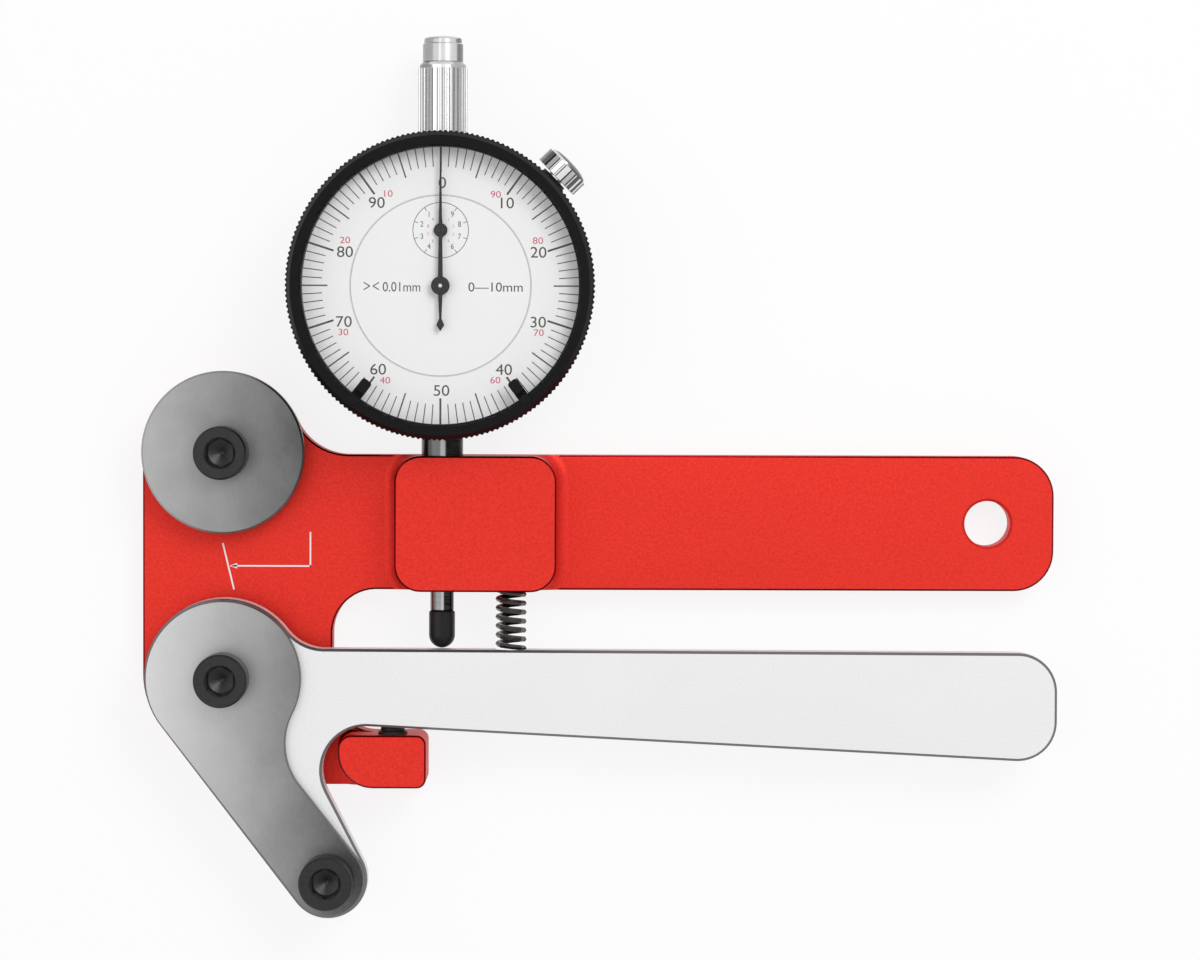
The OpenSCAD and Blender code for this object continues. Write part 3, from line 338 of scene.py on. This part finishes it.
# Anodised, oxidised and painted pieces: speckle, roughness, metallic, scale
RED_ANODISED = blasted("red anodised aluminium", (0.69, 0.034, 0.023),
                       0.6, 0.45, 0.5, 2300, specular=0.1)
# Painted shade: a red far darker than the face, to draw a dark outline along each
# chamfer
RED_PAINTED_SHADE_EDGE = blasted("red anodised edge, painted shade", (0.17, 0.002, 0.005),
                   0.3, 0.3, 0.9, specular=0.1)
SILVER_ANODISED = blasted("silver anodised aluminium", (0.78, 0.78, 0.79),
                          0.2, 0.45, 0.35)
# Painted shade: a grey far darker than the face, to draw a dark outline along each
# chamfer
SILVER_PAINTED_SHADE_EDGE = blasted("silver anodised edge, painted shade", (0.17, 0.17, 0.18),
                      0.2, 0.3, 0.9)
BLACK_OXIDE = blasted("black oxide steel", (0.035, 0.035, 0.036),
                      0.5, 0.36, 1, 2200)
BUMPER_BLACK = blasted("black bumper", (0.015, 0.015, 0.015),
                       0.4, 0.5, 0, 1800, specular=0.2)
TIP_BLACK = blasted("black plunger tip", (0.008, 0.008, 0.008),
                    0.3, 0.3, 0, 1200, specular=0.2)
CASE_BLACK = blasted("black case enamel", (0.012, 0.012, 0.013),
                     0.3, 0.4, 0, 900, specular=0.2)
BEZEL_BLACK = blasted("black anodised bezel", (0.011, 0.011, 0.012),
                      0.4, 0.38, 1, 2600)
DIAL_WHITE = blasted("white dial enamel", (0.88, 0.88, 0.88),
                     0.03, 0.5, 0, 1500, cloud=0.015)
HAND_BLACK = blasted("black hand lacquer", (0.012, 0.012, 0.013),
                     0.3, 0.4, 1, 2500)
BRONZE = blasted("sintered bronze", (0.45, 0.28, 0.12), 0.4, 0.45, 1, 2600)
SPRING_STEEL = blasted("spring wire", (0.055, 0.053, 0.05), 0.4, 0.26, 1, 1800)
# Painted shade: the counter arbor's polished steel end coloured nearly black
ARBOR_STEEL_PAINTED_DARK = blasted("polished steel painted dark", (0.03, 0.03, 0.032), 0.3, 0.35, 1, 2500)
BLACK_INK = blasted("black printing", (0.02, 0.02, 0.022), 0.2, 0.5, 0)
GREY_INK_AND_PAINTED_SHADE = blasted("grey printing and painted shade", (0.34, 0.34, 0.34), 0.1, 0.5, 0)
RED_INK = blasted("red printing", (0.56, 0.06, 0.11), 0.1, 0.5, 0)
WHITE_MARK = blasted("engraved white mark", (0.92, 0.85, 0.84), 0.15, 0.5, 0)

# Ground and brushed pieces: streak, roughness, grain on each axis, painted
# shade for each metre and where it is nothing, cloud
# The disc and the plate carry painted shade: lighter to the left, darker to the
# right
GROUND_STEEL = drawn("ground steel disc", (0.22, 0.22, 0.22), 0.16, 0.4,
                     (3000, 900, 300), -36, -0.0004, 0.5)
PLATE_STEEL = drawn("ground steel plate", (0.31, 0.31, 0.31), 0.14, 0.4,
                    (3000, 900, 300), -36, 0.004, 0.35)
# Painted shade: a steel far darker than the plate, to draw a dark outline along its
# chamfer
STEEL_PAINTED_SHADE_EDGE = drawn("ground steel edge, painted shade", (0.16, 0.16, 0.16), 0.2, 0.3)
TURNED_STEEL = drawn("turned steel", (0.6, 0.6, 0.61), 0.12, 0.3,
                     (300, 300, 4000))
BRASS = drawn("movement brass", (0.72, 0.5, 0.2), 0.15, 0.3, (200, 3000, 300))

# Polished and plated pieces: right and left painted reflection band, roughness,
# their starts
STEM_PLATED = turned("polished stem", (0.4, 0.4, 0.41), 0.97, 0.75, 0.18)
SLEEVE_PLATED = turned("satin plated knurl", (0.72, 0.72, 0.73),
                       0.4, 0.6, 0.24, (0.3, -0.35))
CAP_PLATED = turned("satin plated cap", (0.62, 0.62, 0.63),
                    0.65, 0.4, 0.24, (0.66, -0.1))
KNOB_PLATED = turned("satin plated knob", (0.75, 0.75, 0.76),
                     0.85, 0.75, 0.2, (0.22, -0.28))
SPINDLE_STEEL = turned("spindle steel", (0.5, 0.5, 0.51), 0.95, 0.6, 0.2,
                       streak=0.2)


def crystal_material():
    made = bpy.data.materials.new("clear crystal")
    made.use_nodes = True
    shader = made.node_tree.nodes["Principled BSDF"]
    shader.inputs["Base Color"].default_value = (1, 1, 1, 1)
    shader.inputs["Roughness"].default_value = 0.03
    shader.inputs["Alpha"].default_value = 0.02
    return made


FINISHES = {
    "frame": RED_ANODISED, "lever": SILVER_ANODISED,
    "upper_disc": GROUND_STEEL, "leg_plate": PLATE_STEEL,
    "lower_pin": TURNED_STEEL, "pivot_sleeve": TURNED_STEEL,
    "upper_bolt": BLACK_OXIDE, "pivot_bolt": BLACK_OXIDE,
    "lower_bolt": BLACK_OXIDE, "stem_set_screw": BLACK_OXIDE,
    "stop_screw": BUMPER_BLACK, "stem": STEM_PLATED,
    "upper_sleeve": SLEEVE_PLATED, "lifting_cap": CAP_PLATED,
    "lock_screw": KNOB_PLATED, "spindle": SPINDLE_STEEL,
    "plunger_tip": TIP_BLACK, "dial_case": CASE_BLACK,
    "back_cover": CASE_BLACK, "back_cover_screws": TURNED_STEEL,
    "movement_plate": BRASS, "movement_bridge": BRASS,
    "rack_wheel": BRASS, "counter_wheel": BRASS,
    "lever_bush": BRONZE, "rack_pinion": TURNED_STEEL,
    "centre_pinion": TURNED_STEEL, "counter_arbor": ARBOR_STEEL_PAINTED_DARK,
    "main_hand": HAND_BLACK, "counter_hand": HAND_BLACK,
    "bezel": BEZEL_BLACK, "crystal": crystal_material(),
    "dial_ring": DIAL_WHITE, "dial_centre": DIAL_WHITE,
    "marker_left": HAND_BLACK, "marker_right": HAND_BLACK,
    "return_spring": SPRING_STEEL,
}
for node_name, material in FINISHES.items():
    data = NODES[node_name].data
    data.materials.clear()
    data.materials.append(material)


# ------------------------------------------------------------ chamfered edges

WELD = 0.0002 * MM
LEVEL_REACH = 0.001 * MM
FLAT = math.radians(0.5)
STEEP = math.radians(60)


def chamfered(node, levels, width, edge_shade_finish):
    """A copy of a CAD node whose outlines at the given heights are chamfered,
    the cut edges painted darker than the faces as painted shade. It replaces
    the node. The heights and the width are in millimetres."""
    source = NODES[node]
    work = bmesh.new()
    work.from_mesh(source.data)
    bmesh.ops.remove_doubles(work, verts=work.verts, dist=WELD)
    bmesh.ops.dissolve_limit(work, angle_limit=FLAT, verts=work.verts,
                             edges=work.edges)

    def on_a_level(edge):
        return any(max(abs(v.co.z - level * MM) for v in edge.verts) < LEVEL_REACH
                   for level in levels)

    edges = [edge for edge in work.edges if len(edge.link_faces) == 2
             and edge.calc_face_angle(0) > STEEP and on_a_level(edge)]
    # material=1 gives the chamfers the mesh's second material, the edge's painted
    # shade
    bmesh.ops.bevel(work, geom=edges, offset=width * MM, offset_type="OFFSET",
                    segments=1, profile=0.5, affect="EDGES", clamp_overlap=False,
                    material=1)
    data = smooth_mesh(work, node + "_chamfered")
    data.materials.append(FINISHES[node])
    data.materials.append(edge_shade_finish)
    made = add_object(node + "_body", data)
    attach(made, source["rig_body"])
    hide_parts(node)


# The frame's rear, its front, the stop's tab and the block; the lever's rear
# and front; the leg plate's front
chamfered("frame", (0, 6, 13.2, 14.2), 0.35, RED_PAINTED_SHADE_EDGE)
chamfered("lever", (9, 14), 0.5, SILVER_PAINTED_SHADE_EDGE)
chamfered("leg_plate", (15.6,), 0.25, STEEL_PAINTED_SHADE_EDGE)


# -------------------------------------------------------------- lifting cap

def lifting_cap():
    """The pull cap on the plunger: a plain barrel, a narrower neck and a low
    dome, bored for the plunger's end. It replaces the node."""
    low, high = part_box("lifting_cap")
    plunger_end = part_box("spindle")[1]
    axis = (low + high) / 2
    gap = 0.05 * MM
    bore = plunger_end.x - axis.x + gap
    roof = plunger_end.y + gap
    dome_top = 5.03
    # radius and height in millimetres, from the bore's mouth to the dome
    profile = [(3.76, 0), (3.86, 0.1), (3.86, 3.35), (3.68, 3.55), (3.6, 3.6),
               (3.6, 4.3), (3.45, 4.55), (2.6, 4.78), (1.3, 4.96)]
    rings = [(bore, low.y)] + [(r * MM, low.y + y * MM) for r, y in profile]
    steps = 64
    work = bmesh.new()
    rows = []
    for radius, height in rings + [(bore, roof)]:
        rows.append([work.verts.new((
            axis.x + radius * math.cos(math.tau * i / steps), height,
            axis.z + radius * math.sin(math.tau * i / steps)))
            for i in range(steps)])
    top = work.verts.new((axis.x, low.y + dome_top * MM, axis.z))
    inside = work.verts.new((axis.x, roof, axis.z))
    barrel, bored = rows[:-1], rows[-1]
    for i in range(steps):
        j = (i + 1) % steps
        for lower, upper in zip(barrel, barrel[1:]):
            work.faces.new((lower[i], upper[i], upper[j], lower[j]))
        work.faces.new((barrel[-1][i], top, barrel[-1][j]))
        work.faces.new((barrel[0][i], barrel[0][j], bored[j], bored[i]))
        work.faces.new((bored[i], bored[j], inside))
    bmesh.ops.recalc_face_normals(work, faces=work.faces)
    data = smooth_mesh(work, "lifting_cap_body")
    data.materials.append(CAP_PLATED)
    made = add_object("lifting_cap_body", data)
    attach(made, "plunger")
    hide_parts("lifting_cap")


lifting_cap()


# ------------------------------------------------------------- return spring

def return_spring():
    """The spring between the handle and the lever, a copy of the node with its
    own mesh that rides on the frame. It replaces the node."""
    source = NODES["return_spring"]
    made = add_object("return_spring_coils", source.data.copy())
    made.matrix_world = source.matrix_world
    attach(made, "frame")
    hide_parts("return_spring")
    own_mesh(made)


return_spring()


# ------------------------------------------------------------------ printing

# Height of a capital in the built-in font, for a text size of one
CAPITAL = 0.7


class Sheet:
    """Flat printed shapes gathered into one thin piece. Places and sizes are
    in millimetres."""

    def __init__(self, z):
        self.mesh = bmesh.new()
        self.z = z

    def strip(self, start, end, width):
        """A straight bar between two places."""
        a, b = Vector(start), Vector(end)
        side = (b - a).normalized().orthogonal() * width / 2
        self.fill([a + side, a - side, b - side, b + side])

    def fill(self, places):
        """A flat shape with its corners at the places."""
        corners = [self.mesh.verts.new((x * MM, y * MM, self.z)) for x, y in places]
        face = self.mesh.faces.new(corners)
        face.normal_update()
        if face.normal.z < 0:
            face.normal_flip()

    def circle(self, centre, radius, width, steps):
        """A thin ring."""
        rims = []
        for r in (radius - width / 2, radius + width / 2):
            rims.append([self.mesh.verts.new((
                (centre[0] + r * math.cos(math.tau * i / steps)) * MM,
                (centre[1] + r * math.sin(math.tau * i / steps)) * MM,
                self.z)) for i in range(steps)])
        inner, outer = rims
        for i in range(steps):
            j = (i + 1) % steps
            self.mesh.faces.new((inner[i], outer[i], outer[j], inner[j]))

    def words(self, text, centre, height, widen=1.1):
        """Plain upright lettering, set by its height and its middle."""
        curve = bpy.data.curves.new("lettering", "FONT")
        curve.body = text
        made = add_object("lettering", curve)
        bpy.context.view_layer.update()
        shape = bpy.data.meshes.new_from_object(
            made.evaluated_get(bpy.context.evaluated_depsgraph_get()))
        bpy.data.objects.remove(made)
        bpy.data.curves.remove(curve)
        xs = [v.co.x for v in shape.vertices]
        scale = height / CAPITAL
        middle = ((max(xs) + min(xs)) / 2, CAPITAL / 2)
        for v in shape.vertices:
            v.co = ((centre[0] + (v.co.x - middle[0]) * scale * widen) * MM,
                    (centre[1] + (v.co.y - middle[1]) * scale) * MM, self.z)
        self.mesh.from_mesh(shape)
        bpy.data.meshes.remove(shape)

    def place(self, name, material, body, slot_name):
        """Makes the piece, one ink layer thick, and lets it ride on a body."""
        faces = bmesh.ops.extrude_face_region(self.mesh, geom=list(self.mesh.faces))
        for part in faces["geom"]:
            if isinstance(part, bmesh.types.BMVert):
                part.co.z += INK
        bmesh.ops.recalc_face_normals(self.mesh, faces=self.mesh.faces)
        data = bpy.data.meshes.new(name)
        self.mesh.to_mesh(data)
        self.mesh.free()
        data.materials.append(material)
        made = add_object(name, data)
        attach(made, body)


def on_dial(x, y):
    return DIAL_AXIS.x / MM + x, DIAL_AXIS.y / MM + y


def on_counter(x, y):
    return COUNTER_AXIS.x / MM + x, COUNTER_AXIS.y / MM + y


def around(place, radius, turn):
    """A place at a radius, a turn in degrees clockwise from the top."""
    return place(radius * math.sin(math.radians(turn)),
                 radius * math.cos(math.radians(turn)))


# Middle of each number on the scale, beside the axis, in millimetres
SCALE_NUMBERS = ((0, 0.3, 19.5), (10, 12.6, 15.7), (20, 18.5, 6.4),
                 (30, 18.5, -6.8), (40, 12.0, -15.8), (50, 0.2, -19.8),
                 (60, -11.8, -15.8), (70, -18.3, -6.8), (80, -18.1, 6.4),
                 (90, -12.1, 15.7))
BACK_NUMBERS = ((90, 10.4, 17.3), (80, 18.4, 8.6), (70, 18.6, -8.8),
                (60, 10.4, -17.8), (40, -10.5, -17.9), (30, -18.4, -8.8),
                (20, -18.1, 8.6), (10, -9.9, 17.4))


def scale_printing():
    """A hundred divisions and their numbers, on the ring that turns."""
    divisions = 100
    rim = 26.4
    # a line on every so many divisions: its inner end and its width
    lines = ((10, 21.3, 0.38), (5, 21.4, 0.27), (1, 22.5, 0.18))
    black = Sheet(FACE_TOP)
    red = Sheet(FACE_TOP)
    for i in range(divisions):
        turn = 360 / divisions * i
        inner, width = next(line[1:] for line in lines if i % line[0] == 0)
        black.strip(around(on_dial, inner, turn), around(on_dial, rim, turn), width)
    for number, x, y in SCALE_NUMBERS:
        black.words(str(number), on_dial(x, y), 2.05)
    for number, x, y in BACK_NUMBERS:
        red.words(str(number), on_dial(x, y), 1.25, 1.15)
    black.place("scale_divisions", BLACK_INK, "bezel", "dial_white")
    red.place("scale_back_numbers", RED_INK, "bezel", "dial_white")


def centre_printing():
    """Counter dial, plain labels and a painted shade ring, on the dial's fixed
    centre.
    """
    thin = 0.12
    counter_rim = 5.25
    black = Sheet(FACE_TOP)
    grey = Sheet(FACE_TOP)
    red = Sheet(FACE_TOP)
    # Painted shade: an even grey circle where the step between the ring and the
    # centre shades the dial
    grey.circle(on_dial(0, 0), 17.05, thin, 160)
    black.circle(on_counter(0, 0), counter_rim, thin, 96)
    for i in range(10):
        turn = -36 * i
        black.strip(around(on_counter, 4.5, turn),
                    around(on_counter, counter_rim, turn), thin)
        if i % 5:
            black.words(str(i), around(on_counter, 3.75, turn), 1.05, 0.85)
            back = red if i < 5 else grey
            back.words(str(10 - i), around(on_counter, 2.5, turn), 0.6, 0.9)
    black.words("0—10mm", on_dial(10.4, -0.2), 1.75, 1.04)
    black.words("0.01mm", on_dial(-7.4, -0.2), 1.8, 0.87)
    # two open arrowheads, point to point, to the left of the second label
    points, level = -13.1, -0.1
    for side in (-1, 1):
        point = on_dial(points + 0.3 * side, level)
        for rise in (-0.7, 0.7):
            black.strip(on_dial(points + 1.45 * side, level + rise), point, 0.2)
    black.place("counter_divisions", BLACK_INK, "frame", "dial_white")
    grey.place("grey_print_and_painted_shade_ring", GREY_INK_AND_PAINTED_SHADE, "frame", "dial_white")
    red.place("counter_back_numbers", RED_INK, "frame", "dial_white")


def spoke_marks():
    """The slanted line that the spoke follows and the arrow that points to it,
    in millimetres from the pivot."""
    mark = Sheet(FRAME_TOP)
    mark.strip((-0.87, 25.46), (1.30, 16.48), 0.32)
    mark.strip((1.0, 21.05), (16.2, 21.05), 0.3)
    mark.strip((16.05, 20.9), (16.05, 27.63), 0.3)
    mark.fill([(0.45, 21.05), (1.9, 21.6), (1.9, 20.5)])
    mark.place("spoke_marks", WHITE_MARK, "frame", "frame_red")


scale_printing()
centre_printing()
spoke_marks()


# ----------------------------------------------------------- floor and light

def seen_itself(tree):
    """1 for a ray from the camera, a reflection or a clear piece, and 0 for
    the light that falls on other things."""
    path = tree.nodes.new("ShaderNodeLightPath")
    return math_node(tree, "MAXIMUM", path.outputs["Is Camera Ray"],
                     math_node(tree, "MAXIMUM", path.outputs["Is Glossy Ray"],
                               path.outputs["Is Transmission Ray"]))


def floor():
    """A pale floor under the rear face. It keeps a soft shadow, and looks
    white where nothing shades it."""
    reach = 3
    level = -0.4 * MM
    own_white = 0.85
    data = bpy.data.meshes.new("floor")
    data.from_pydata([(reach * x, reach * y, level)
                      for x, y in ((-1, -1), (1, -1), (1, 1), (-1, 1))],
                     [], [(0, 1, 2, 3)])
    made = add_object("floor", data)
    paper = bpy.data.materials.new("white paper")
    paper.use_nodes = True
    tree = paper.node_tree
    tree.nodes.clear()
    out = tree.nodes.new("ShaderNodeOutputMaterial")
    matt = tree.nodes.new("ShaderNodeBsdfDiffuse")
    matt.inputs["Color"].default_value = (0.95, 0.95, 0.95, 1)
    white = tree.nodes.new("ShaderNodeEmission")
    white.inputs["Strength"].default_value = 1
    mix = tree.nodes.new("ShaderNodeMixShader")
    tree.links.new(math_node(tree, "MULTIPLY", seen_itself(tree), own_white),
                   mix.inputs["Fac"])
    tree.links.new(matt.outputs[0], mix.inputs[1])
    tree.links.new(white.outputs[0], mix.inputs[2])
    tree.links.new(mix.outputs[0], out.inputs["Surface"])
    data.materials.append(paper)


def world():
    """An even pale room: white where it shows, half as bright as a light."""
    made = bpy.data.worlds.new("studio")
    bpy.context.scene.world = made
    made.use_nodes = True
    tree = made.node_tree
    sky = tree.nodes["Background"]
    sky.inputs["Color"].default_value = (1, 1, 1, 1)
    tree.links.new(math_node(tree, "MULTIPLY_ADD", seen_itself(tree), 0.5, 0.5),
                   sky.inputs["Strength"])


def panel(name, place, target, size, power):
    """A soft square lamp that faces a place."""
    data = bpy.data.lights.new(name, "AREA")
    data.shape = "SQUARE"
    data.size = size
    data.energy = power
    made = add_object(name, data)
    made.location = place
    made.rotation_euler = (Vector(target) - Vector(place)).to_track_quat(
        "-Z", "Y").to_euler()


def camera():
    """The photograph's view: straight down on the dial side, from 750 mm over
    the frame's front."""
    place = Vector((71.24, 64.45, 756)) * MM
    aim = Vector((71.9, 37.85, 6)) * MM
    roll = 0.0033
    data = bpy.data.cameras.new("camera")
    data.sensor_width = 36
    data.lens = 116.7
    data.clip_start = 0.01
    data.clip_end = 50
    made = add_object("camera", data)
    bpy.context.scene.camera = made
    ahead = (aim - place).normalized()
    right = ahead.cross(Vector((0, 1, 0))).normalized()
    up = right.cross(ahead)
    side = right * math.cos(roll) + up * math.sin(roll)
    rise = up * math.cos(roll) - right * math.sin(roll)
    turn = Matrix((side, rise, -ahead)).transposed()
    made.matrix_world = Matrix.Translation(place) @ turn.to_4x4()


LAMP_TARGET = (0.07, 0.04, 0)

floor()
world()
panel("key panel", (0.45, 0.5, 0.75), LAMP_TARGET, 0.5, 4.4)
panel("fill panel", (-0.5, 0.1, 0.8), LAMP_TARGET, 0.8, 1.6)
camera()
bpy.context.scene.view_settings.view_transform = "Standard"
